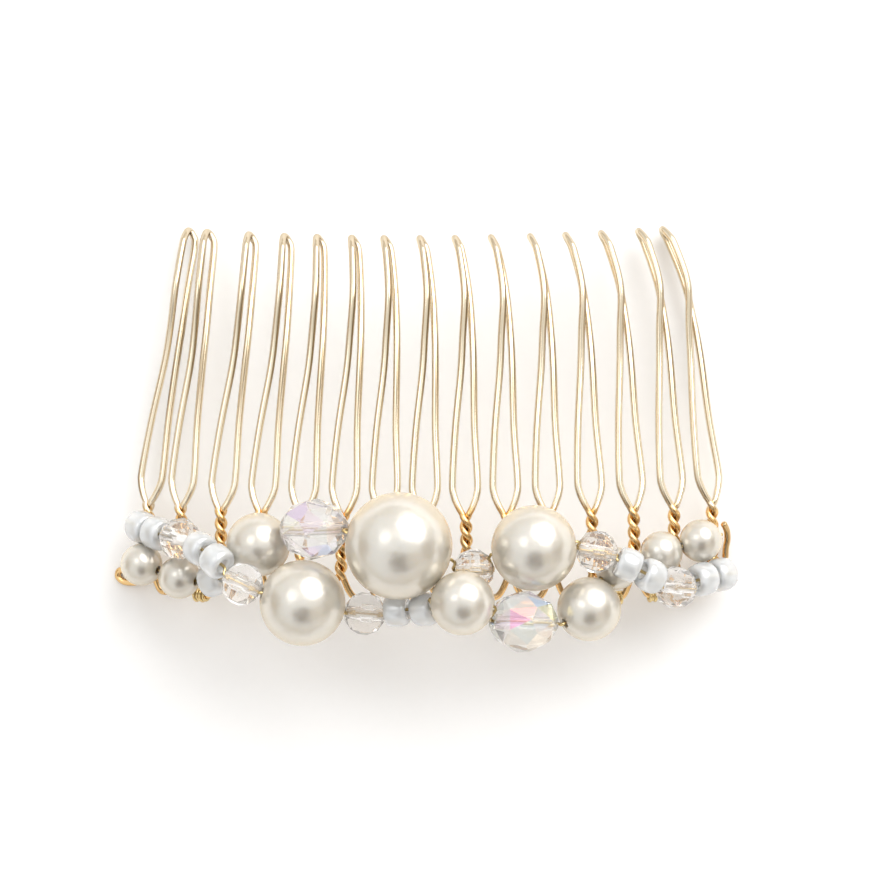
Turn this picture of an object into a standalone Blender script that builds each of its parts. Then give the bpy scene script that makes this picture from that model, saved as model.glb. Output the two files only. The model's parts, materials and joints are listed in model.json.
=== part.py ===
"""Decorative hair comb: a fifteen-tooth twisted-wire comb with two strings of
beads bound along its spine.

The comb is one 0.6 mm wire bent back and forth: each tooth is a hairpin whose
two legs are twisted together into a stem below the teeth, and neighbouring
stems are joined by shallow arches, the comb's spine.  The comb is curved like
a barrel to follow the head.  Two strings of beads (glass pearls, faceted
crystals, aurora crystals and seed beads) on a 0.3 mm binding wire lie on the
outer face of the spine.

The comb lies on a table, outer face up: it rests on the two end arches and on
the tips of the end teeth.  +X runs along the spine, +Y towards the tooth tips.
"""

import math

import bpy
from mathutils import Matrix, Vector

MM = 0.001

# The comb
TEETH = 15
BARREL_RADIUS = 52.1 * MM  # of the stems' axes about the comb's own axis
TOOTH_ANGLE = math.radians(4.4)  # between neighbours: 4.0 mm pitch
WIRE_RADIUS = 0.3 * MM
TWIST_RADIUS = 0.35 * MM  # of each strand's centre about the stem's axis
TWIST_BOTTOM = 1.6 * MM
TWIST_TOP = 7.8 * MM
HALF_TURNS = 5  # left-handed, so the left leg crosses in front at the top
STEPS_PER_HALF_TURN = 3
ARCH_END = 1.95 * MM  # leaves 0.1 mm between neighbouring halves of an arch
TIP_HEIGHT = 32.8 * MM
LEAN = 0.262  # of the teeth towards the hollow side
TIP_LEAN_START = 28.5 * MM
TIP_LEAN = 0.55
# How far each tooth, bent by hand, stands aside at its stem's top and its tip (mm)
STEM_SHIFTS = (0.0, -0.3, 0.1, 0.3, 0.4, 0.4, 0.3, 0.1, -0.1, -0.3, -0.3, -0.2, -0.1, 0.0, 0.0)
TIP_SHIFTS = (0.0, -1.2, 0.0, 0.3, 0.2, 0.2, -0.1, -0.1, -0.2, -0.2, 0.1, 0.1, 0.2, 0.6, -0.3)
PITCH = math.radians(11.1)  # of the comb as it lies on its arches and tips
ROLL = math.radians(0.4)

# The binding wire
BINDING_RADIUS = 0.15 * MM
STEM_COIL = 0.84 * MM  # radius of the wire's centre round a stem
ARCH_COIL = 0.56 * MM  # and round an arch
MOUTH = 0.12 * MM  # from a bead's end to the bend of the wire

# The beads: kind -> outer radius, half length, bore radius, sides, rings
PEARL, SEED, CRYSTAL, AURORA = "pearl", "seed", "crystal", "aurora"

COLOURS = {
    "wire": ((0.86, 0.66, 0.40, 1.0), 1.0, 0.22),
    PEARL: ((0.94, 0.88, 0.80, 1.0), 0.0, 0.18),
    SEED: ((0.95, 0.95, 0.94, 1.0), 0.0, 0.12),
    CRYSTAL: ((0.95, 0.94, 0.92, 1.0), 0.0, 0.03),
    AURORA: ((0.93, 0.88, 0.95, 1.0), 0.0, 0.03),
}

# Each bead: name, kind, radius, place along the spine from its middle, height
# up the comb from the arches, height of the centre over the stems' axes (mm).
FIRST_STRING = (
    ("seed_01", SEED, 1.5, -27.2, 5.8, 2.25),
    ("seed_02", SEED, 1.5, -25.0, 5.5, 3.0),
    ("crystal_4mm_01", CRYSTAL, 2.0, -22.0, 5.4, 4.1),
    ("seed_03", SEED, 1.5, -19.3, 4.9, 5.6),
    ("seed_04", SEED, 1.5, -17.2, 4.1, 7.0),
    ("crystal_4mm_02", CRYSTAL, 2.0, -14.7, 2.2, 7.7),
    ("pearl_8mm_01", PEARL, 4.0, -9.9, 0.4, 6.4),
    ("crystal_4mm_03", CRYSTAL, 2.0, -5.1, -1.0, 3.5),
    ("seed_05", SEED, 1.5, -2.2, -0.6, 3.8),
    ("seed_06", SEED, 1.5, 0.3, -0.4, 4.4),
    ("pearl_6mm_01", PEARL, 3.0, 3.5, 0.7, 7.3),
    ("aurora_crystal_01", AURORA, 2.95, 8.6, -1.5, 5.65),
    ("pearl_6mm_02", PEARL, 3.0, 14.5, -0.8, 4.2),
    ("pearl_4mm_01", PEARL, 2.0, 17.6, 2.5, 2.0),
    ("pearl_4mm_02", PEARL, 2.0, 21.9, 3.7, 1.95),
    ("pearl_4mm_03", PEARL, 2.0, 25.6, 4.6, 2.4),
)
SECOND_STRING = (
    ("pearl_4mm_04", PEARL, 2.0, -26.7, 2.4, 3.1),
    ("pearl_4mm_05", PEARL, 2.0, -22.7, 1.5, 3.1),
    ("seed_07", SEED, 1.5, -19.1, 1.6, 3.5),
    ("pearl_6mm_03", PEARL, 3.0, -14.7, 5.2, 3.5),
    ("aurora_crystal_02", AURORA, 2.95, -9.2, 7.1, 4.8),
    ("pearl_10mm_01", PEARL, 5.0, -1.8, 5.8, 5.6),
    ("crystal_4mm_04", CRYSTAL, 2.0, 4.5, 3.0, 3.05),
    ("pearl_8mm_02", PEARL, 4.0, 9.7, 5.2, 4.4),
    ("crystal_4mm_05", CRYSTAL, 2.0, 15.2, 4.6, 4.4),
    ("seed_08", SEED, 1.5, 17.7, 3.4, 5.4),
    ("seed_09", SEED, 1.5, 19.7, 2.2, 5.4),
    ("crystal_4mm_06", CRYSTAL, 2.0, 22.2, 0.8, 4.7),
    ("seed_10", SEED, 1.5, 25.1, 1.2, 3.8),
    ("seed_11", SEED, 1.5, 27.3, 1.3, 3.0),
)
# Each lashing of the binding wire round an arch: the arch's number, where it
# starts and ends from the arch's middle (mm), and its turns
LASHINGS = (
    (2, -0.8, 0.5, 4),
    (7, -0.3, 0.5, 2),
    (11, -0.7, 0.1, 2),
    (12, -0.1, 0.7, 3),
    (13, -0.7, 0.1, 3),
)


def clear_scene():
    for thing in list(bpy.data.objects):
        bpy.data.objects.remove(thing, do_unlink=True)


def material(kind):
    colour, metallic, roughness = COLOURS[kind]
    made = bpy.data.materials.new(kind)
    made.use_nodes = True
    shader = made.node_tree.nodes["Principled BSDF"]
    shader.inputs["Base Color"].default_value = colour
    shader.inputs["Metallic"].default_value = metallic
    shader.inputs["Roughness"].default_value = roughness
    if kind in (CRYSTAL, AURORA):
        shader.inputs["Transmission Weight"].default_value = 1.0
    made.diffuse_color = colour
    return made


def tooth_angle(number):
    return (number - (TEETH + 1) / 2) * TOOTH_ANGLE


def on_barrel(along, height, over):
    """A point at a distance along the spine, a height up the comb and a
    height over the stems' axes, in metres, in the barrel's own frame."""
    angle = along / BARREL_RADIUS
    reach = BARREL_RADIUS + over
    return Vector(
        (reach * math.sin(angle), height, reach * math.cos(angle) - BARREL_RADIUS)
    )


def wire_data(name, points, radius, resolution, kind):
    curve = bpy.data.curves.new(name, "CURVE")
    curve.dimensions = "3D"
    curve.bevel_depth = radius
    curve.bevel_resolution = resolution
    curve.use_fill_caps = True
    spline = curve.splines.new("POLY")
    spline.points.add(len(points) - 1)
    for point, place in zip(spline.points, points):
        point.co = (*place, 1.0)
    curve.materials.append(MATERIALS[kind])
    return curve


def strand(start_angle):
    """One strand of a stem, bottom to top, as (across, height, over)."""
    steps = HALF_TURNS * STEPS_PER_HALF_TURN
    rise = (TWIST_TOP - TWIST_BOTTOM) / steps
    points = []
    for step in range(steps + 1):
        turn = start_angle + math.pi * step / STEPS_PER_HALF_TURN
        points.append(
            (
                TWIST_RADIUS * math.cos(turn),
                TWIST_BOTTOM + step * rise,
                TWIST_RADIUS * math.sin(turn),
            )
        )
    return points


def lean(height):
    """How far a tooth has leaned towards the hollow side at a height."""
    over = -LEAN * max(0.0, min(height, TIP_LEAN_START) - TWIST_TOP)
    return over - TIP_LEAN * max(0.0, height - TIP_LEAN_START)


def aside(number, height):
    """How far a tooth stands aside at a height."""
    stem, tip = STEM_SHIFTS[number - 1] * MM, TIP_SHIFTS[number - 1] * MM
    if height < TWIST_TOP:
        return stem * max(0.0, height - TWIST_BOTTOM) / (TWIST_TOP - TWIST_BOTTOM)
    return stem + (tip - stem) * (height - TWIST_TOP) / (TIP_HEIGHT - TWIST_TOP)


def leg(side):
    """One leg of a tooth from the stem's top, as (across, height, over).
    side is -1 for the left leg, which is the outer one, +1 for the right."""
    points = []
    for height, half_spread, half_depth, hook in (
        (8.5, 0.68, 0.05, 0.0),
        (9.5, 1.06, 0.08, 0.0),
        (10.8, 1.17, 0.10, 0.0),
        (15.5, 0.90, 0.12, 0.08),
        (20.7, 0.61, 0.12, 0.40),
        (24.0, 0.46, 0.32, 0.50),
        (28.0, 0.20, 0.75, 0.50),
        (31.4, 0.12, 0.85, 0.05),
        (32.3, 0.06, 0.60, -0.25),
    ):
        points.append(
            (
                (side * half_spread + hook) * MM,
                height * MM,
                lean(height * MM) - side * half_depth * MM,
            )
        )
    return points


def arch_height(arch):
    """The height of an arch's middle (mm): the arches droop towards the ends."""
    from_middle = abs(arch + 0.5 - (TEETH + 1) / 2)
    return 0.1 - 0.75 * min(1.0, from_middle / 4.5)


def arch_half(number, side):
    """Half of the arch beside a stem, from the stem's bottom outwards."""
    low = arch_height(number if side > 0 else number - 1)
    return [
        (side * 0.75 * MM, (0.55 * low + 0.65) * MM, 0.0),
        (side * 1.25 * MM, (low + 0.1) * MM, 0.0),
        (side * ARCH_END, low * MM, 0.0),
    ]


# The free ends of the comb's wire, from the end stem's bottom outwards
LEFT_END = [
    (-0.8 * MM, 0.7 * MM, 0.0),
    (-1.4 * MM, 0.05 * MM, 0.05 * MM),
    (-2.2 * MM, -0.1 * MM, 0.15 * MM),
    (-3.0 * MM, 0.0 * MM, 0.3 * MM),
    (-3.5 * MM, 0.45 * MM, 0.4 * MM),
    (-3.3 * MM, 1.0 * MM, 0.4 * MM),
    (-2.75 * MM, 1.05 * MM, 0.3 * MM),
]
RIGHT_END = [
    (0.85 * MM, 1.0 * MM, 0.0),
    (1.2 * MM, 1.5 * MM, 0.0),
    (1.38 * MM, 2.3 * MM, 0.0),
    (1.45 * MM, 3.2 * MM, 0.0),
    (1.6 * MM, 4.0 * MM, 0.05 * MM),
    (1.45 * MM, 4.9 * MM, 0.2 * MM),
    (0.95 * MM, 5.7 * MM, 0.45 * MM),
]


def hairpin_points(number):
    """The whole run of a tooth's wire, from its left foot round to its right.
    The strand that starts on the right ends as the left leg."""
    left_foot = LEFT_END if number == 1 else arch_half(number, -1)
    right_foot = RIGHT_END if number == TEETH else arch_half(number, +1)
    up = list(reversed(left_foot)) + strand(math.pi) + leg(+1)
    down = list(reversed(leg(-1))) + list(reversed(strand(0.0))) + right_foot
    tip = [(-0.5 * MM, TIP_HEIGHT, lean(TIP_HEIGHT))]
    return [
        (across + aside(number, height), height, over)
        for across, height, over in up + tip + down
    ]


def make_teeth(parent):
    for number in range(1, TEETH + 1):
        name = f"tooth_{number:02d}"
        data = wire_data(name, hairpin_points(number), WIRE_RADIUS, 1, "wire")
        tooth = bpy.data.objects.new(name, data)
        angle = tooth_angle(number)
        tooth.location = on_barrel(angle * BARREL_RADIUS, 0.0, 0.0)
        tooth.rotation_euler = (0.0, angle, 0.0)
        place(tooth, parent)


def turned(name, profile, steps, kind, smooth):
    """A body turned about its Z axis from a closed profile in the XZ plane,
    which runs down its outer side and back up its bore."""
    mesh = bpy.data.meshes.new(name)
    mesh.from_pydata(
        [(x, 0.0, z) for x, z in profile],
        [(i, (i + 1) % len(profile)) for i in range(len(profile))],
        [],
    )
    mesh.materials.append(MATERIALS[kind])
    body = bpy.data.objects.new(name, mesh)
    screw = body.modifiers.new("Turn", "SCREW")
    screw.axis = "Z"
    screw.steps = screw.render_steps = steps
    screw.use_merge_vertices = True
    screw.merge_threshold = 1e-5
    screw.use_smooth_shade = smooth
    return body


def ball_profile(radius, bore, rings):
    end = math.asin(bore / radius)
    angles = [end + (math.pi - 2 * end) * i / (rings - 1) for i in range(rings)]
    return [(radius * math.sin(t), radius * math.cos(t)) for t in angles]


def make_bead(name, kind, radius):
    if kind == PEARL:
        rings = {2.0: 6, 3.0: 7, 4.0: 8, 5.0: 9}[radius]
        bore = {2.0: 0.4, 3.0: 0.45, 4.0: 0.5, 5.0: 0.6}[radius]
        return turned(
            name, ball_profile(radius * MM, bore * MM, rings), 2 * rings - 2, kind, True
        )
    if kind == SEED:
        profile = [(0.8, 1.15), (1.5, 0.6), (1.5, -0.6), (0.8, -1.15), (0.5, -0.9), (0.5, 0.9)]
        return turned(name, [(x * MM, z * MM) for x, z in profile], 10, kind, True)
    # A faceted bead: a belt, a slanted row of facets on each side, flat ends
    # and a bore with widened mouths
    half = half_length(kind, radius)
    profile = [
        (0.42 * radius * MM, half),
        (0.86 * radius * MM, 0.62 * half),
        (1.00 * radius * MM, 0.20 * half),
        (1.00 * radius * MM, -0.20 * half),
        (0.86 * radius * MM, -0.62 * half),
        (0.42 * radius * MM, -half),
        (0.68 * MM, -half),
        (0.48 * MM, 0.3 * MM - half),
        (0.48 * MM, half - 0.3 * MM),
        (0.68 * MM, half),
    ]
    return turned(name, profile, 8 if kind == CRYSTAL else 10, kind, False)


def half_length(kind, radius):
    return {PEARL: radius, SEED: 1.15, CRYSTAL: 1.8, AURORA: 3.2}[kind] * MM


def string_places(string):
    """Centre and bore direction of each bead: a bore points from the bead
    before to the bead after."""
    centres = [on_barrel(s * MM, h * MM, up * MM) for _, _, _, s, h, up in string]
    places = []
    for i, centre in enumerate(centres):
        before = centres[max(i - 1, 0)]
        after = centres[min(i + 1, len(centres) - 1)]
        places.append((centre, (after - before).normalized()))
    return places


def stem_coil(stem, bottom, top, turns=1.25, steps=8):
    """Points of the binding wire's turns round a stem, from over it."""
    angle = tooth_angle(stem)
    frame = Matrix.Translation(on_barrel(angle * BARREL_RADIUS, 0.0, 0.0))
    frame @= Matrix.Rotation(angle, 4, "Y")
    count = round(turns * steps)
    points = []
    for i in range(count + 1):
        turn = math.pi / 2 + 2 * math.pi * i / steps
        height = (bottom + (top - bottom) * i / count) * MM
        points.append(
            frame
            @ Vector((STEM_COIL * math.cos(turn), height, STEM_COIL * math.sin(turn)))
        )
    return points


def arch_coil(arch, start, end, turns, steps=8):
    """Points of the binding wire's turns round the arch after a stem."""
    angle = tooth_angle(arch + 0.5)
    height = arch_height(arch) * MM
    frame = Matrix.Translation(on_barrel(angle * BARREL_RADIUS, height, 0.0))
    frame @= Matrix.Rotation(angle, 4, "Y")
    count = turns * steps
    points = []
    for i in range(count + 1):
        turn = 2 * math.pi * i / steps
        along = (start + (end - start) * i / count) * MM
        points.append(
            frame
            @ Vector((along, ARCH_COIL * math.cos(turn), ARCH_COIL * math.sin(turn)))
        )
    return points


def make_string(name, string, first_coil, last_coil, parent):
    places = string_places(string)
    run = list(first_coil)
    for (bead_name, kind, radius, *_), (centre, bore) in zip(string, places):
        bead = make_bead(bead_name, kind, radius)
        bead.location = centre
        bead.rotation_euler = bore.to_track_quat("Z", "Y").to_euler()
        place(bead, parent)
        reach = half_length(kind, radius) + MOUTH
        run += [centre - bore * reach, centre + bore * reach]
    run += list(last_coil)
    data = wire_data(name, run, BINDING_RADIUS, 0, "wire")
    place(bpy.data.objects.new(name, data), parent)


def place(thing, parent):
    COLLECTION.objects.link(thing)
    thing.parent = parent


def stand_on_origin(parent):
    """Moves the comb so that its lowest point is at z = 0 and the middle of
    its footprint is at the origin."""
    bpy.context.view_layer.update()
    graph = bpy.context.evaluated_depsgraph_get()
    corners = []
    for thing in COLLECTION.objects:
        if thing.type != "EMPTY":
            seen = thing.evaluated_get(graph)
            mesh = seen.to_mesh()
            corners += [seen.matrix_world @ v.co for v in mesh.vertices]
            seen.to_mesh_clear()
    low = [min(c[i] for c in corners) for i in range(3)]
    high = [max(c[i] for c in corners) for i in range(3)]
    parent.location = (-(low[0] + high[0]) / 2, -(low[1] + high[1]) / 2, -low[2])


clear_scene()
COLLECTION = bpy.data.collections.new("Hair comb")
bpy.context.scene.collection.children.link(COLLECTION)
MATERIALS = {kind: material(kind) for kind in COLOURS}

comb = bpy.data.objects.new("comb_frame", None)
COLLECTION.objects.link(comb)
comb.rotation_euler = (PITCH, ROLL, 0.0)

make_teeth(comb)
make_string(
    "string_wire_01", FIRST_STRING, stem_coil(1, 4.5, 5.0), stem_coil(TEETH, 4.5, 4.0), comb
)
make_string(
    "string_wire_02", SECOND_STRING, stem_coil(1, 2.0, 2.8), stem_coil(TEETH, 2.5, 1.9), comb
)
for number, lashing in enumerate(LASHINGS, 1):
    name = f"lashing_{number:02d}"
    data = wire_data(name, arch_coil(*lashing), BINDING_RADIUS, 0, "wire")
    place(bpy.data.objects.new(name, data), comb)
stand_on_origin(comb)
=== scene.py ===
"""Looks for the decorative hair comb.

One smooth gold wire replaces each hairpin, fine turned and faceted beads
replace the CAD beads, and the binding wire is drawn with its real bends.
"""

import json
import math
import random

import bmesh
import bpy
from mathutils import Euler, Matrix, Vector


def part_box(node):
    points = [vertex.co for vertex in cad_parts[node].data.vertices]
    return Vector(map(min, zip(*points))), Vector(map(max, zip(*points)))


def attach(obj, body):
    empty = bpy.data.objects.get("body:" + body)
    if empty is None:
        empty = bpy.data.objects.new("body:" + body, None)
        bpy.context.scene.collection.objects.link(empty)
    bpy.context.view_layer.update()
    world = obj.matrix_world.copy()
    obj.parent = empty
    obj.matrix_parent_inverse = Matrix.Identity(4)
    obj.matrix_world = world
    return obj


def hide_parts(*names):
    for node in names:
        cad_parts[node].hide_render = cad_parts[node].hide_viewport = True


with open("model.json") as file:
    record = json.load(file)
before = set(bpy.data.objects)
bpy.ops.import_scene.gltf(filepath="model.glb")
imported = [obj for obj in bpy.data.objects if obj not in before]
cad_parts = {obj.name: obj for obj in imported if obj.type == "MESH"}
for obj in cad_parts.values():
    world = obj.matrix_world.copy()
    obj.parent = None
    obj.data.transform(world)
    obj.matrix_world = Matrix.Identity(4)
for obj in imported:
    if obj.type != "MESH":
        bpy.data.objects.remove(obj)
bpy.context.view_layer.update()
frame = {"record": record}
SCENE = bpy.context.scene
MM = 0.001

# ---------------------------------------------------------------- the design
TEETH = 15
BARREL = 52.1 * MM  # radius of the comb's curve, at the stems' axes
TOOTH_ANGLE = math.radians(4.4)  # from one stem to the next
WIRE = 0.3 * MM  # radius
# The share by which a leg is thicker than the stem, and the height over which it grows
LEG_THICKENING, THICKENING_HEIGHT = 0.11, 1.5 * MM
BLUNT_END = 0.6  # a wire's last ring, as a share of its radius
TWIST = 0.305 * MM  # from a stem's axis to the axis of each strand
TWIST_BOTTOM, TWIST_TOP = 1.6 * MM, 7.8 * MM
HALF_TURNS = 5
# How far a tooth's arches reach beside its stem, their height in the comb's middle
# and how much lower they end (mm), and how many arches from the middle that is
ARCH_END, ARCH_MIDDLE, ARCH_DROOP, DROOP_REACH = 1.95, 0.1, 0.75, 4.5
TIP_HEIGHT = 32.8 * MM
# How steeply the legs lean down above the twist, and again above a height near the tip
LEAN, TIP_LEAN_START, TIP_LEAN = 0.262, 28.5 * MM, 0.55
PITCH, ROLL = math.radians(11.1), math.radians(0.4)  # as the comb lies on the table
BINDING = 0.15 * MM  # radius
WIRE_SIDES, BINDING_SIDES = 16, 10
# Samples between two of a wire's points, points in half a turn of a stem's
# twist, and points in one turn of a coil
TOOTH_SAMPLES, STRING_SAMPLES, TWIST_POINTS, TURN_POINTS = 6, 4, 6, 16
# How far each tooth, bent by hand, stands aside at its stem's top and its tip (mm)
STEM_SHIFTS = (0.0, -0.3, 0.1, 0.3, 0.4, 0.4, 0.3, 0.1, -0.1, -0.3, -0.3, -0.2, -0.1, 0.0, 0.0)
TIP_SHIFTS = (0.0, -1.2, 0.0, 0.3, 0.2, 0.2, -0.1, -0.1, -0.2, -0.2, 0.1, 0.1, 0.2, 0.6, -0.3)

FIRST_STRING = (
    "seed_01 seed_02 crystal_4mm_01 seed_03 seed_04 crystal_4mm_02 pearl_8mm_01 "
    "crystal_4mm_03 seed_05 seed_06 pearl_6mm_01 aurora_crystal_01 pearl_6mm_02 "
    "pearl_4mm_01 pearl_4mm_02 pearl_4mm_03"
).split()
SECOND_STRING = (
    "pearl_4mm_04 pearl_4mm_05 seed_07 pearl_6mm_03 aurora_crystal_02 "
    "pearl_10mm_01 crystal_4mm_04 pearl_8mm_02 crystal_4mm_05 seed_08 seed_09 "
    "crystal_4mm_06 seed_10 seed_11"
).split()
# Where the big pearl sits in the comb's own frame: along, up, over (mm)
ANCHOR_BEAD, ANCHOR = "pearl_10mm_01", (-1.8, 5.8, 5.6)
# The pearls' radii and the radii of their bores (mm)
PEARL_RADII = {"4mm": 2.0, "6mm": 3.0, "8mm": 4.0, "10mm": 5.0}
PEARL_BORES = {"4mm": 0.40, "6mm": 0.45, "8mm": 0.50, "10mm": 0.60}
PEARL_RINGS, PEARL_STEPS, SEED_STEPS = 48, 96, 56
SEED_RADIUS, SEED_HALF, SEED_BORE = 1.6, 1.12, 0.5  # mm
# Where the string leaves the other beads, from their middles (mm)
STRING_REACH = {"seed": 1.15, "crystal": 1.8, "aurora": 3.2}
CRYSTAL_RADIUS, CRYSTAL_HALF, CRYSTAL_BORE = 2.0 * MM, 1.8 * MM, 0.48 * MM
# A little under the CAD's radius, so that a turning corner clears the pearls
AURORA_RADIUS, AURORA_HALF = 2.89 * MM, 3.1 * MM
WORN_EDGE = 0.03 * MM


def centre_of(node):
    low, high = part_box(node)
    return (Vector(low) + Vector(high)) / 2


def on_barrel(along, height, over):
    """A place along the comb's curve, up its teeth and out from its outer face."""
    angle = along / BARREL
    reach = BARREL + over
    return Vector((reach * math.sin(angle), height, reach * math.cos(angle) - BARREL))


TURN = Euler((PITCH, ROLL, 0.0)).to_matrix().to_4x4()
COMB = (
    Matrix.Translation(
        centre_of(ANCHOR_BEAD) - TURN @ on_barrel(*(v * MM for v in ANCHOR))
    )
    @ TURN
)


def tooth_frame(number):
    """A stem's own frame: X along the comb, Y up the stem, Z outwards."""
    angle = (number - (TEETH + 1) / 2) * TOOTH_ANGLE
    return (
        COMB
        @ Matrix.Translation(on_barrel(angle * BARREL, 0.0, 0.0))
        @ Matrix.Rotation(angle, 4, "Y")
    )


# ------------------------------------------------------------------ materials
def new_material(name):
    mat = bpy.data.materials.new(name)
    mat.use_nodes = True
    return mat, mat.node_tree, mat.node_tree.nodes["Principled BSDF"]


def node(tree, kind, links=(), **settings):
    made = tree.nodes.new(kind)
    for key, value in settings.items():
        if key.startswith("in_"):
            made.inputs[int(key[3:])].default_value = value
        else:
            setattr(made, key, value)
    for socket, source in links:
        tree.links.new(source, made.inputs[socket])
    return made


def adjust(made, settings):
    """Sets a node's inputs, named as Blender names them."""
    for socket, value in settings.items():
        made.inputs[socket].default_value = value


def noise(tree, where, scale, detail, offset, stretch):
    moved = node(tree, "ShaderNodeMapping", [("Vector", where)])
    adjust(moved, {"Location": offset, "Scale": stretch})
    made = node(tree, "ShaderNodeTexNoise", [("Vector", moved.outputs["Vector"])])
    adjust(made, {"Scale": scale, "Detail": detail})
    return made


def object_noise(tree, scale, detail, offset=(0.0, 0.0, 0.0)):
    where = node(tree, "ShaderNodeTexCoord").outputs["Object"]
    return noise(tree, where, scale, detail, offset, (1.0, 1.0, 1.0))


def wire_noise(tree, scale, detail, along, offset=(0.0, 0.0, 0.0)):
    """Noise drawn out along a wire, in the wire's own straight coordinates."""
    where = node(tree, "ShaderNodeAttribute", attribute_name="drawn").outputs["Vector"]
    return noise(tree, where, scale, detail, offset, (1.0, 1.0, along))


def ramp(tree, source, stops):
    made = node(tree, "ShaderNodeValToRGB", [("Fac", source)])
    elements = made.color_ramp.elements
    elements[0].position, elements[0].color = stops[0]
    elements[1].position, elements[1].color = stops[-1]
    for position, colour in stops[1:-1]:
        new = elements.new(position)
        new.color = colour
    return made


def bump(tree, shader, source, distance, strength):
    made = node(tree, "ShaderNodeBump", [("Height", source)])
    adjust(made, {"Distance": distance, "Strength": strength})
    tree.links.new(made.outputs["Normal"], shader.inputs["Normal"])


def between(first, second, share):
    return tuple(a + (b - a) * share for a, b in zip(first, second))


def gold(name, light, painted_bounce_colour, painted_reflection, roughness):
    """Plated wire: champagne gold along the teeth, with a deeper gold painted into the
    twisted stems and the spine as painted inter-reflection and shade between the strands, and
    dark streaks along the wire that are painted reflections of the darker parts of the room."""
    mat, tree, shader = new_material(name)
    adjust(shader, {"Metallic": 1.0, "Specular Tint": (0.64, 0.56, 0.46, 1.0)})
    patches = wire_noise(tree, 700.0, 2.0, 0.15)
    up_comb = node(
        tree,
        "ShaderNodeSeparateXYZ",
        [("Vector", node(tree, "ShaderNodeTexCoord").outputs["Object"])],
    )
    # The colour turns between these heights over and under the stem's top, from the teeth's
    # own gold to the painted inter-reflection and shade of the stems and the spine
    height = node(tree, "ShaderNodeMapRange", [("Value", up_comb.outputs["Y"])])
    adjust(height, {"From Min": STEM_TOP_Y + 1.6 * MM, "From Max": STEM_TOP_Y - 0.6 * MM})
    painted_bounce_and_tone = node(
        tree,
        "ShaderNodeMath",
        [(0, height.outputs["Result"]), (1, patches.outputs["Fac"])],
        operation="ADD",
    )
    colours = ramp(
        tree,
        painted_bounce_and_tone.outputs["Value"],
        [
            (0.35, (*light, 1.0)),
            (0.75, (*between(light, painted_bounce_colour, 0.25), 1.0)),
            (1.0, (*painted_bounce_colour, 1.0)),
        ],
    )
    # Painted reflections: noise drawn out along the wire sets long dark streaks that stand in
    # for the darker parts of the room mirrored in the wire
    drawn = wire_noise(tree, 2100.0, 1.0, 0.03, offset=(0.2, 0.0, 0.5))
    share = ramp(
        tree,
        drawn.outputs["Fac"],
        [
            (0.36, (1.0, 1.0, 1.0, 1.0)),
            (0.42, (0.42, 0.42, 0.42, 1.0)),
            (0.56, (0.0, 0.0, 0.0, 1.0)),
        ],
    )
    # Mixes the painted dark reflections into the wire's colour
    with_painted_reflection = node(
        tree, "ShaderNodeMix", [(0, share.outputs["Color"])], data_type="RGBA"
    )
    tree.links.new(colours.outputs["Color"], with_painted_reflection.inputs[6])
    with_painted_reflection.inputs[7].default_value = (*painted_reflection, 1.0)
    tree.links.new(with_painted_reflection.outputs[2], shader.inputs["Base Color"])
    fine = wire_noise(tree, 5200.0, 2.0, 0.03, offset=(0.3, 0.1, 0.7))
    rough = node(tree, "ShaderNodeMapRange", [("Value", fine.outputs["Fac"])])
    adjust(rough, {"To Min": roughness - 0.04, "To Max": roughness + 0.08})
    tree.links.new(rough.outputs["Result"], shader.inputs["Roughness"])
    bump(tree, shader, fine.outputs["Fac"], 0.008 * MM, 0.6)
    return mat


def pearl_material(name, offset):
    """Lacquered imitation pearl: a cream body with a satin nacre lustre that
    pools a little at the dents of the dipped coats."""
    mat, tree, shader = new_material(name)
    cloud = object_noise(tree, 330.0, 2.0, offset=offset)
    colours = ramp(
        tree,
        cloud.outputs["Fac"],
        [(0.28, (*PEARL_SHADE, 1.0)), (0.70, (*PEARL_BODY, 1.0))],
    )
    tree.links.new(colours.outputs["Color"], shader.inputs["Base Color"])
    adjust(
        shader,
        {
            "Metallic": 0.6,
            "Roughness": 0.27,
            "Specular Tint": (1.0, 0.88, 0.66, 1.0),
            "Subsurface Weight": 0.2,
            "Subsurface Radius": (1.0, 0.7, 0.4),
            "Subsurface Scale": 0.8 * MM,
            "Sheen Weight": 0.18,
            "Sheen Roughness": 0.45,
            "Sheen Tint": (1.0, 0.80, 0.50, 1.0),
            "Coat Weight": 0.6,
            "Coat Roughness": 0.15,
            "Coat IOR": 1.5,
        },
    )
    dents = object_noise(tree, 520.0, 1.0, offset=offset)
    grain = object_noise(tree, 5200.0, 2.0, offset=offset)
    relief = node(
        tree,
        "ShaderNodeMath",
        [(0, grain.outputs["Fac"]), (2, dents.outputs["Fac"])],
        operation="MULTIPLY_ADD",
        in_1=GRAIN_SHARE,
    )
    bump(tree, shader, relief.outputs["Value"], 0.11 * MM, 1.0)
    return mat


def mottle(tree, shader, source, tint, depth):
    """A tint that the noise darkens in places, to depth times itself."""
    darker = tuple(c * depth for c in tint)
    colours = ramp(tree, source, [(0.3, (*darker, 1.0)), (0.7, (*tint, 1.0))])
    tree.links.new(colours.outputs["Color"], shader.inputs["Base Color"])


def seed_material(name, tint):
    """Opal glass: glossy, milky and a little see-through at its edges."""
    mat, tree, shader = new_material(name)
    cloud = object_noise(tree, 900.0, 2.0)
    mottle(tree, shader, cloud.outputs["Fac"], tint, 0.96)
    adjust(
        shader,
        {
            "Roughness": 0.08,
            "IOR": 1.45,
            "Subsurface Weight": 0.2,
            "Subsurface Radius": (0.9, 0.95, 1.0),
            "Subsurface Scale": 1.4 * MM,
            "Transmission Weight": 0.5,
            "Coat Weight": 1.0,
            "Coat IOR": 2.2,
            "Coat Roughness": 0.04,
        },
    )
    bump(tree, shader, cloud.outputs["Fac"], 0.04 * MM, 0.6)
    return mat


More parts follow.
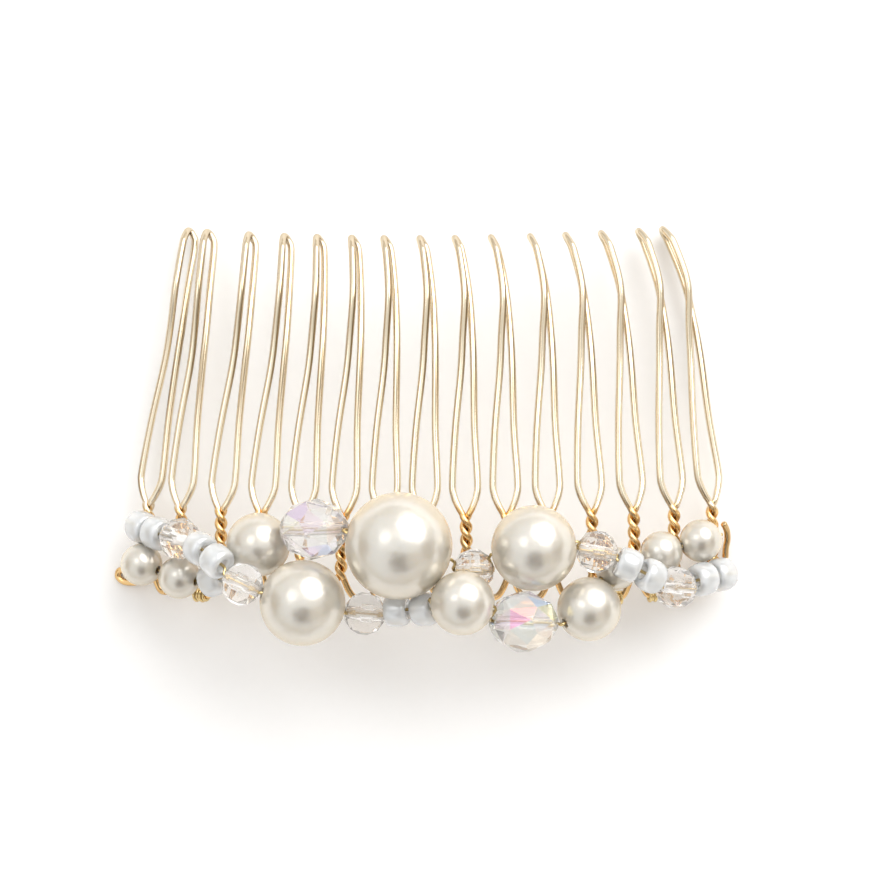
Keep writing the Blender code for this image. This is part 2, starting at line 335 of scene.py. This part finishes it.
def crystal_material(name, tint):
    """Cut glass, nearly colourless, with a slightly worn surface."""
    mat, tree, shader = new_material(name)
    worn = object_noise(tree, 1500.0, 2.0)
    mottle(tree, shader, worn.outputs["Fac"], tint, 0.985)
    adjust(shader, {"Transmission Weight": 0.85, "Roughness": 0.03, "IOR": 1.36})
    bump(tree, shader, worn.outputs["Fac"], 0.005 * MM, 0.4)
    return mat


def aurora_material(name):
    """Cut glass with an aurora coat: each facet carries its own tint and its
    own thickness of a high-index film."""
    mat, tree, shader = new_material(name)
    adjust(
        shader,
        {"Transmission Weight": 0.8, "Roughness": 0.05, "IOR": 1.34, "Thin Film IOR": 1.9},
    )
    film = node(tree, "ShaderNodeAttribute", attribute_name="film")
    tree.links.new(film.outputs["Fac"], shader.inputs["Thin Film Thickness"])
    tint = node(tree, "ShaderNodeAttribute", attribute_name="tint")
    tree.links.new(tint.outputs["Color"], shader.inputs["Base Color"])
    worn = object_noise(tree, 1500.0, 2.0)
    bump(tree, shader, worn.outputs["Fac"], 0.005 * MM, 0.4)
    return mat


STEM_TOP_Y = (COMB @ Vector((0.0, TWIST_TOP, 0.0))).y
# Each wire's colour on the teeth, the deeper gold painted into the stems as inter-reflection
# and shade, the colour of the dark streaks painted in as reflections, and its roughness
GOLD = gold("comb_gold", (0.86, 0.765, 0.60), (0.84, 0.56, 0.26), (0.36, 0.28, 0.18), 0.14)
BINDING_GOLD = gold(
    "binding_gold", (0.86, 0.74, 0.50), (0.80, 0.63, 0.33), (0.42, 0.32, 0.15), 0.16
)
PEARL_BODY, PEARL_SHADE = (0.67, 0.645, 0.59), (0.63, 0.595, 0.53)
GRAIN_SHARE = 0.045  # the fine grain's height beside that of a pearl's dents
CLEAR = crystal_material("clear_crystal", (0.945, 0.925, 0.905))
OPAL = seed_material("opal_glass", (0.85, 0.87, 0.885))
AURORA = aurora_material("aurora_crystal")


# ---------------------------------------------------------------------- wires
def smooth_run(points, steps):
    """A Catmull-Rom curve through the points, steps samples to a span."""
    made = []
    for i in range(len(points) - 1):
        a = points[max(i - 1, 0)]
        b, c = points[i], points[i + 1]
        d = points[min(i + 2, len(points) - 1)]
        for k in range(steps):
            t = k / steps
            made.append(
                0.5
                * (
                    2 * b
                    + (c - a) * t
                    + (2 * a - 5 * b + 4 * c - d) * t * t
                    + (3 * b - a - 3 * c + d) * t**3
                )
            )
    made.append(points[-1].copy())
    return made


def wire(name, points, radii, material, sides):
    """A drawn wire along the points, blunt at both ends. Its attribute
    "drawn" says where each point lay while the wire was straight."""
    mesh = bmesh.new()
    drawn = mesh.verts.layers.float_vector.new("drawn")
    last = len(points) - 1
    across = (points[1] - points[0]).orthogonal()
    rings, run = [], 0.0
    for i, (point, radius) in enumerate(zip(points, radii)):
        ahead = (points[min(i + 1, last)] - points[max(i - 1, 0)]).normalized()
        across = (across - ahead * across.dot(ahead)).normalized()
        over = ahead.cross(across)
        run += (point - points[max(i - 1, 0)]).length
        size = radius * (BLUNT_END if i in (0, last) else 1.0)
        ring = []
        for k in range(sides):
            turn = 2 * math.pi * k / sides
            spoke = across * math.cos(turn) + over * math.sin(turn)
            vertex = mesh.verts.new(point + spoke * size)
            vertex[drawn] = (size * math.cos(turn), size * math.sin(turn), run)
            ring.append(vertex)
        rings.append(ring)
    for one, two in zip(rings, rings[1:]):
        for k in range(sides):
            j = (k + 1) % sides
            mesh.faces.new((one[k], one[j], two[j], two[k]))
    mesh.faces.new(tuple(reversed(rings[0])))
    mesh.faces.new(tuple(rings[-1]))
    made = finish_mesh(name, mesh, True)
    made.data.materials.append(material)
    return made


def strand(start_angle):
    """One of the two twisted strands of a stem, from its bottom up."""
    steps = HALF_TURNS * TWIST_POINTS
    rise = (TWIST_TOP - TWIST_BOTTOM) / steps
    points = []
    for step in range(steps + 1):
        turn = start_angle + math.pi * step / TWIST_POINTS
        points.append(
            Vector(
                (
                    TWIST * math.cos(turn),
                    TWIST_BOTTOM + step * rise,
                    TWIST * math.sin(turn),
                )
            )
        )
    return points


def lean(height):
    """How far a tooth has leaned down from the stem's plane at a height."""
    over = -LEAN * max(0.0, min(height, TIP_LEAN_START) - TWIST_TOP)
    return over - TIP_LEAN * max(0.0, height - TIP_LEAN_START)


def aside(number, height):
    """How far a tooth stands aside at a height."""
    stem, tip = STEM_SHIFTS[number - 1] * MM, TIP_SHIFTS[number - 1] * MM
    if height < TWIST_TOP:
        return stem * max(0.0, height - TWIST_BOTTOM) / (TWIST_TOP - TWIST_BOTTOM)
    return stem + (tip - stem) * (height - TWIST_TOP) / (TIP_HEIGHT - TWIST_TOP)


def leg(side):
    """One leg of a tooth from the stem's top: -1 is the left, outer leg."""
    points = []
    for height, half_spread, half_depth, hook in (
        (8.5, 0.68, 0.05, 0.0),
        (9.5, 1.06, 0.08, 0.0),
        (10.8, 1.17, 0.10, 0.0),
        (15.5, 0.90, 0.12, 0.08),
        (20.7, 0.61, 0.12, 0.40),
        (24.0, 0.46, 0.32, 0.50),
        (28.0, 0.20, 0.75, 0.50),
        (31.4, 0.12, 0.85, 0.05),
        (32.3, 0.06, 0.60, -0.25),
    ):
        points.append(
            Vector(
                (
                    (side * half_spread + hook) * MM,
                    height * MM,
                    lean(height * MM) - side * half_depth * MM,
                )
            )
        )
    return points


def arch_height(arch):
    """The height of an arch's middle (mm): the arches droop towards the ends."""
    from_middle = abs(arch + 0.5 - (TEETH + 1) / 2)
    return ARCH_MIDDLE - ARCH_DROOP * min(1.0, from_middle / DROOP_REACH)


def arch_half(number, side):
    """Half of the arch beside a stem, from the stem's bottom outwards."""
    low = arch_height(number if side > 0 else number - 1)
    return millimetres(
        (side * 0.75, 0.55 * low + 0.65, 0.0),
        (side * 1.25, low + 0.1, 0.0),
        (side * ARCH_END, low, 0.0),
    )


def millimetres(*points):
    return [Vector(point) * MM for point in points]


# The free ends of the comb's wire, from the end stem's bottom outwards
LEFT_END = millimetres(
    (-0.8, 0.7, 0.0),
    (-1.4, 0.05, 0.05),
    (-2.2, -0.1, 0.15),
    (-3.0, 0.0, 0.3),
    (-3.5, 0.45, 0.4),
    (-3.3, 1.0, 0.4),
    (-2.75, 1.05, 0.3),
)
RIGHT_END = millimetres(
    (0.85, 1.0, 0.0),
    (1.2, 1.5, 0.0),
    (1.38, 2.3, 0.0),
    (1.45, 3.2, 0.0),
    (1.6, 4.0, 0.05),
    (1.45, 4.9, 0.2),
    (0.95, 5.7, 0.45),
)


def make_teeth():
    """Each tooth is one wire, from one arch up to its tip and down to the next."""
    for number in range(1, TEETH + 1):
        left = LEFT_END if number == 1 else arch_half(number, -1)
        right = RIGHT_END if number == TEETH else arch_half(number, +1)
        tip = Vector((-0.5 * MM, TIP_HEIGHT, lean(TIP_HEIGHT)))
        run = list(reversed(left)) + strand(math.pi) + leg(+1) + [tip]
        run += list(reversed(leg(-1))) + list(reversed(strand(0.0))) + right
        place = tooth_frame(number)
        points, radii = [], []
        for point in smooth_run(run, TOOTH_SAMPLES):
            moved = point.copy()
            moved.x += aside(number, point.y)
            points.append(place @ moved)
            above = min(1.0, max(0.0, (point.y - TWIST_TOP) / THICKENING_HEIGHT))
            radii.append(WIRE * (1.0 + LEG_THICKENING * above))
        made = wire(f"hairpin_{number:02d}", points, radii, GOLD, WIRE_SIDES)
        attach(made, "comb")
        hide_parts(f"tooth_{number:02d}")


# ---------------------------------------------------------------------- beads
def lathe(name, profile, steps):
    """A body turned about Z from a closed profile of (radius, height)."""
    mesh = bmesh.new()
    rings = []
    for k in range(steps):
        turn = 2 * math.pi * k / steps
        rings.append(
            [
                mesh.verts.new((r * math.cos(turn), r * math.sin(turn), z))
                for r, z in profile
            ]
        )
    count = len(profile)
    for k in range(steps):
        here, there = rings[k], rings[(k + 1) % steps]
        for i in range(count):
            j = (i + 1) % count
            mesh.faces.new((here[i], here[j], there[j], there[i]))
    bmesh.ops.recalc_face_normals(mesh, faces=mesh.faces)
    return finish_mesh(name, mesh, True)


def finish_mesh(name, mesh, smooth):
    data = bpy.data.meshes.new(name)
    mesh.to_mesh(data)
    mesh.free()
    if smooth:
        data.shade_smooth()
    made = bpy.data.objects.new(name, data)
    SCENE.collection.objects.link(made)
    return made


def ball_profile(radius, bore, rings):
    """A ball with a softly rounded bore mouth."""
    end = math.asin(bore * 1.25 / radius)
    profile = []
    for i in range(rings):
        t = end + (math.pi - 2 * end) * i / (rings - 1)
        profile.append((radius * math.sin(t), radius * math.cos(t)))
    mouth = profile[-1][1]
    lip = bore * 0.25
    profile += [(bore * 1.06, mouth + lip * 0.25), (bore, mouth + lip)]
    profile += [(bore, -mouth - lip), (bore * 1.06, -mouth - lip * 0.25)]
    return profile


def seed_profile(radius, half, bore):
    """A round-edged ring bead: a slightly squared oval round its wall's middle."""
    steps, squareness = 32, 0.78
    profile = []
    wall = (radius - bore) / 2
    middle = bore + wall
    for i in range(steps):
        t = 2 * math.pi * i / steps
        c, s = math.cos(t), math.sin(t)
        x = middle + wall * math.copysign(abs(c) ** squareness, c)
        z = half * math.copysign(abs(s) ** squareness, s)
        profile.append((x, z))
    return profile


def hull_of_rings(name, rows, sides):
    """The convex hull of rings of (radius, height, turn), one ring a row."""
    mesh = bmesh.new()
    for radius, height, turn in rows:
        for k in range(sides):
            angle = 2 * math.pi * (k + turn) / sides
            mesh.verts.new(
                (radius * math.cos(angle), radius * math.sin(angle), height)
            )
    bmesh.ops.convex_hull(mesh, input=mesh.verts)
    bmesh.ops.dissolve_limit(
        mesh, angle_limit=math.radians(1.0), verts=mesh.verts, edges=mesh.edges
    )
    return finish_mesh(name, mesh, False)


def drilled(body, bore, half):
    """The body with a bore cut along Z and its edges worn, its facets flat."""
    drill = bpy.data.meshes.new(body.name + "_drill")
    cutter = bmesh.new()
    bmesh.ops.create_cone(
        cutter, cap_ends=True, segments=24, radius1=bore, radius2=bore, depth=half * 3
    )
    cutter.to_mesh(drill)
    cutter.free()
    tool = bpy.data.objects.new(body.name + "_drill", drill)
    SCENE.collection.objects.link(tool)
    cut = body.modifiers.new("Bore", "BOOLEAN")
    cut.operation, cut.object, cut.solver = "DIFFERENCE", tool, "EXACT"
    edge = body.modifiers.new("Worn edges", "BEVEL")
    edge.width, edge.segments, edge.limit_method = WORN_EDGE, 1, "ANGLE"
    edge.angle_limit = math.radians(12)
    edge.harden_normals = False
    bpy.context.view_layer.update()
    made = bpy.data.meshes.new_from_object(
        body.evaluated_get(bpy.context.evaluated_depsgraph_get())
    )
    body.modifiers.clear()
    body.data = made
    bpy.data.objects.remove(tool, do_unlink=True)
    return body


def cut_bead(name, radius, half, sides, rings):
    """A faceted bead from rings given as shares of its radius and half length,
    and turned by a share of a side."""
    rows = [(radius * r, half * z, turn) for r, z, turn in rings]
    return drilled(hull_of_rings(name, rows, sides), CRYSTAL_BORE, half)


# A fire-polished cut: two staggered rows of facets a side
POLISHED_CUT = (
    (0.40, 1.00, 0.0),
    (0.80, 0.70, 0.5),
    (1.00, 0.22, 0.0),
    (1.00, -0.22, 0.0),
    (0.80, -0.70, 0.5),
    (0.40, -1.00, 0.0),
)
# A round cut: diamonds round the belt, kites to the ends
ROUND_CUT = (
    (0.36, 1.00, 0.0),
    (0.78, 0.70, 0.5),
    (1.00, 0.10, 0.0),
    (1.00, -0.10, 0.5),
    (0.78, -0.70, 0.0),
    (0.36, -1.00, 0.5),
)


# Where the aurora coat shows strongest on each bead: the facets that face
# about this way, their tint, and the film's thickness there (nm)
AURORA_TINTS = {
    "aurora_crystal_01": (
        ((0.10, 0.28, 0.95), (1.00, 0.50, 0.94), 120.0),
        ((-0.42, 0.02, 0.91), (0.96, 0.86, 0.93), 0.0),
        ((0.46, 0.62, 0.63), (0.56, 0.73, 1.00), 0.0),
        ((0.80, 0.36, 0.47), (0.92, 0.94, 0.64), 95.0),
        ((0.22, -0.38, 0.90), (0.86, 0.93, 0.91), 0.0),
        ((-0.15, -0.66, 0.73), (0.93, 0.89, 0.82), 0.0),
        ((0.44, -0.80, 0.41), (0.97, 0.84, 0.72), 90.0),
    ),
    "aurora_crystal_02": (
        ((-0.38, 0.50, 0.78), (0.80, 0.68, 0.95), 0.0),
        ((-0.22, 0.16, 0.96), (0.92, 0.84, 0.93), 0.0),
        ((-0.76, -0.12, 0.64), (0.84, 0.91, 0.56), 97.0),
        ((0.45, 0.10, 0.89), (0.95, 0.85, 0.78), 0.0),
        ((0.20, -0.68, 0.70), (0.68, 0.75, 1.00), 138.0),
    ),
}
TINT_REACH = math.cos(math.radians(17.0))
PALE_TINTS = (
    (0.93, 0.90, 0.93), (0.90, 0.93, 0.92), (0.94, 0.92, 0.89), (0.92, 0.92, 0.92)
)


def coat_facets(bead, name, rng):
    """Gives each facet its film thickness (nm) and its tint."""
    data = bead.data
    film = data.attributes.new("film", "FLOAT", "FACE")
    tint = data.attributes.new("tint", "FLOAT_COLOR", "FACE")
    for polygon in data.polygons:
        facing, colour, thickness = max(
            AURORA_TINTS[name],
            key=lambda row: polygon.normal.dot(Vector(row[0]).normalized()),
        )
        if polygon.normal.dot(Vector(facing).normalized()) < TINT_REACH:
            colour = rng.choice(PALE_TINTS)
            thickness = rng.choice((0.0, 0.0, 90.0, 125.0))
        film.data[polygon.index].value = thickness
        tint.data[polygon.index].color = (*colour, 1.0)


def bead_axes(names):
    """Where a string's beads are, and which way the string runs through each."""
    centres = [centre_of(n) for n in names]
    axes = []
    for i in range(len(names)):
        before, after = centres[max(i - 1, 0)], centres[min(i + 1, len(names) - 1)]
        axes.append((after - before).normalized())
    return centres, axes


def body_of_node(name):
    for body, nodes in frame["record"]["behaviour"]["bodies"].items():
        if name in nodes:
            return body
    raise SystemExit(f"no body holds {name}")


def make_bead(name, centre, axis):
    rng = random.Random(name)
    kind = name.split("_")[0]
    piece = "bead_" + name
    if kind == "pearl":
        size = name.split("_")[1]
        radius, bore = PEARL_RADII[size] * MM, PEARL_BORES[size] * MM
        bead = lathe(piece, ball_profile(radius, bore, PEARL_RINGS), PEARL_STEPS)
        offset = tuple(rng.uniform(0, 5) for _ in range(3))
        coat, slot = pearl_material("nacre_" + name, offset), "pearl"
    elif kind == "seed":
        half = SEED_HALF * rng.uniform(0.95, 1.0)
        radius = SEED_RADIUS * rng.uniform(0.96, 1.0)
        profile = seed_profile(radius * MM, half * MM, SEED_BORE * MM)
        bead = lathe(piece, profile, SEED_STEPS)
        coat, slot = OPAL, "seed_glass"
    elif kind == "crystal":
        bead = cut_bead(piece, CRYSTAL_RADIUS, CRYSTAL_HALF, 9, POLISHED_CUT)
        coat, slot = CLEAR, "clear_crystal"
    else:
        bead = cut_bead(piece, AURORA_RADIUS, AURORA_HALF, 7, ROUND_CUT)
        coat, slot = AURORA, "aurora_crystal"
    turn = Matrix.Rotation(rng.uniform(0, math.pi), 4, "Z")
    place = axis.to_track_quat("Z", "Y").to_matrix().to_4x4() @ turn
    bead.data.transform(Matrix.Translation(centre) @ place)
    if kind == "aurora":
        coat_facets(bead, name, rng)
    bead.data.materials.clear()
    bead.data.materials.append(coat)
    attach(bead, body_of_node(name))
    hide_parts(name)


def half_length(name):
    """Half a bead's length along its string, to where the string leaves it."""
    kind, size = name.split("_")[:2]
    return (PEARL_RADII[size] if kind == "pearl" else STRING_REACH[kind]) * MM


def coil(stem, bottom, top, turns=1.25, radius=0.82):
    """Turns of the binding wire round a stem, from over it."""
    place = tooth_frame(stem)
    count = round(turns * TURN_POINTS)
    points = []
    for i in range(count + 1):
        turn = math.pi / 2 + 2 * math.pi * turns * i / count
        height = bottom + (top - bottom) * i / count
        turned = Vector((radius * math.cos(turn), height, radius * math.sin(turn)))
        points.append(place @ (turned * MM))
    return points


def arch_coil(arch, start, end, turns, radius=0.50):
    """Turns of the binding wire round the arch after a stem."""
    place = tooth_frame(arch + 0.5)
    low = arch_height(arch)
    rng = random.Random(arch)
    points = []
    count = turns * TURN_POINTS
    for i in range(count + 1):
        turn = 2 * math.pi * i / TURN_POINTS
        along = start + (end - start) * i / count
        slack = radius + 0.05 * math.sin(turn * 0.5 + rng.uniform(-0.2, 0.2))
        turned = Vector((along, low + slack * math.cos(turn), slack * math.sin(turn)))
        points.append(place @ (turned * MM))
    return points


def bind(piece, points, wire_name):
    """A run of the binding wire, in place of the CAD's."""
    radii = [BINDING] * len(points)
    made = wire(piece, points, radii, BINDING_GOLD, BINDING_SIDES)
    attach(made, "comb")
    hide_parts(wire_name)


def make_string(number, names, first, last):
    """A string's beads, and its wire through them from one coil to the other."""
    centres, axes = bead_axes(names)
    run = list(first)
    for name, centre, axis in zip(names, centres, axes):
        make_bead(name, centre, axis)
        reach = half_length(name) + 0.05 * MM
        run += [centre - axis * reach, centre, centre + axis * reach]
    run += list(last)
    bind(f"thread_{number:02d}", smooth_run(run, STRING_SAMPLES), f"string_wire_{number:02d}")


make_teeth()
make_string(1, FIRST_STRING, coil(1, 4.5, 5.0), coil(TEETH, 4.5, 4.0))
make_string(2, SECOND_STRING, coil(1, 2.0, 2.8), coil(TEETH, 2.5, 1.9))
# Each lashing: its arch, where along it the turns start and end (mm), and their number
LASHINGS = (
    (2, -0.8, 0.5, 4),
    (7, -0.3, 0.5, 2),
    (11, -0.7, 0.1, 2),
    (12, -0.1, 0.7, 3),
    (13, -0.7, 0.1, 3),
)
for number, lashing in enumerate(LASHINGS, 1):
    bind(f"lashing_turns_{number:02d}", arch_coil(*lashing), f"lashing_{number:02d}")


# ------------------------------------------------------------- floor and light
def make_floor():
    bpy.ops.mesh.primitive_plane_add(size=6.0, location=(0.0, 0.0, 0.0))
    floor = bpy.context.object
    floor.name = "table_top"
    mat, tree, shader = new_material("table_top")
    paper = object_noise(tree, 900.0, 3.0)
    colours = ramp(
        tree,
        paper.outputs["Fac"],
        [(0.3, (0.965, 0.962, 0.958, 1.0)), (0.7, (0.975, 0.972, 0.968, 1.0))],
    )
    tree.links.new(colours.outputs["Color"], shader.inputs["Base Color"])
    adjust(shader, {"Roughness": 0.8, "Specular IOR Level": 0.3})
    floor.data.materials.append(mat)


def direction(azimuth, zenith):
    """The unit vector at an azimuth from +X and an angle from straight up."""
    a, z = math.radians(azimuth), math.radians(zenith)
    return Vector((math.sin(z) * math.cos(a), math.sin(z) * math.sin(a), math.cos(z)))


def softbox(name, azimuth, zenith, half_angle, radiance):
    """A round soft light that fills half_angle degrees about a direction."""
    distance = 0.6
    radius = distance * math.tan(math.radians(half_angle))
    data = bpy.data.lights.new(name, "AREA")
    data.shape = "DISK"
    data.size = 2 * radius
    data.energy = radiance * math.pi * math.pi * radius**2
    lamp = bpy.data.objects.new(name, data)
    SCENE.collection.objects.link(lamp)
    away = direction(azimuth, zenith)
    lamp.location = away * distance
    lamp.rotation_euler = away.to_track_quat("Z", "Y").to_euler()


# The studio round the table: azimuth, zenith, inner and outer half angles of
# each darker patch, and its colour
PATCHES = (
    (180, 82, 6, 30, (0.56, 0.47, 0.36)),
    (-8, 76, 6, 30, (0.45, 0.38, 0.29)),
    (-78, 37, 9, 33, (0.10, 0.06, 0.03)),
    (-35, 52, 2, 24, (0.72, 0.65, 0.55)),
)


def make_world():
    """A bright room, a little warmer low down, with the darker patches in it."""
    world = bpy.data.worlds.new("studio")
    SCENE.world = world
    world.use_nodes = True
    tree = world.node_tree
    back = tree.nodes["Background"]
    where = node(tree, "ShaderNodeTexCoord")
    parts = node(
        tree, "ShaderNodeSeparateXYZ", [("Vector", where.outputs["Generated"])]
    )
    sky = ramp(
        tree,
        parts.outputs["Z"],
        [
            (0.0, (0.77, 0.71, 0.61, 1.0)),
            (0.28, (0.91, 0.88, 0.83, 1.0)),
            (0.50, (1.00, 1.01, 1.02, 1.0)),
        ],
    ).outputs["Color"]
    for azimuth, zenith, inner, outer, colour in PATCHES:
        towards = node(
            tree,
            "ShaderNodeVectorMath",
            [(0, where.outputs["Generated"])],
            operation="DOT_PRODUCT",
            in_1=direction(azimuth, zenith),
        )
        share = node(
            tree,
            "ShaderNodeMapRange",
            [("Value", towards.outputs["Value"])],
            interpolation_type="SMOOTHSTEP",
        )
        reach = {"From Min": math.radians(outer), "From Max": math.radians(inner)}
        adjust(share, {end: math.cos(angle) for end, angle in reach.items()})
        mixed = node(
            tree, "ShaderNodeMix", [(0, share.outputs["Result"])], data_type="RGBA"
        )
        tree.links.new(sky, mixed.inputs[6])
        mixed.inputs[7].default_value = (*colour, 1.0)
        sky = mixed.outputs[2]
    tree.links.new(sky, back.inputs["Color"])
    back.inputs["Strength"].default_value = 1.06


def make_camera():
    """A long lens from above, a little from the right and the front."""
    distance, sensor = 0.70, 36.0
    # The view is this wide at this height over the point that the camera aims at
    view_width, plane_height = 81.406 * MM, 6 * MM
    data = bpy.data.cameras.new("camera")
    data.sensor_width = sensor
    camera = bpy.data.objects.new("camera", data)
    SCENE.collection.objects.link(camera)
    SCENE.camera = camera
    side, front = math.radians(4.4), math.radians(2.1)
    away = Vector((math.sin(side), -math.sin(front), math.cos(side))).normalized()
    aim = COMB @ Vector((1.60 * MM, 14.86 * MM, 0.0))
    camera.location = aim + away * distance
    ahead = -away
    right = ahead.cross(Vector((0, 1, 0))).normalized()
    up = right.cross(ahead)
    turn = Matrix((right, up, away)).transposed().to_4x4()
    camera.matrix_world = Matrix.Translation(camera.location) @ turn
    data.lens = sensor * (distance - plane_height) / view_width
    data.clip_start = 0.01
    data.clip_end = 20.0


make_floor()
make_world()
softbox("key_softbox", 51, 50, 28, 3.1)
softbox("fill_softbox", 146, 28, 13, 1.4)
make_camera()
SCENE.view_settings.view_transform = "Standard"
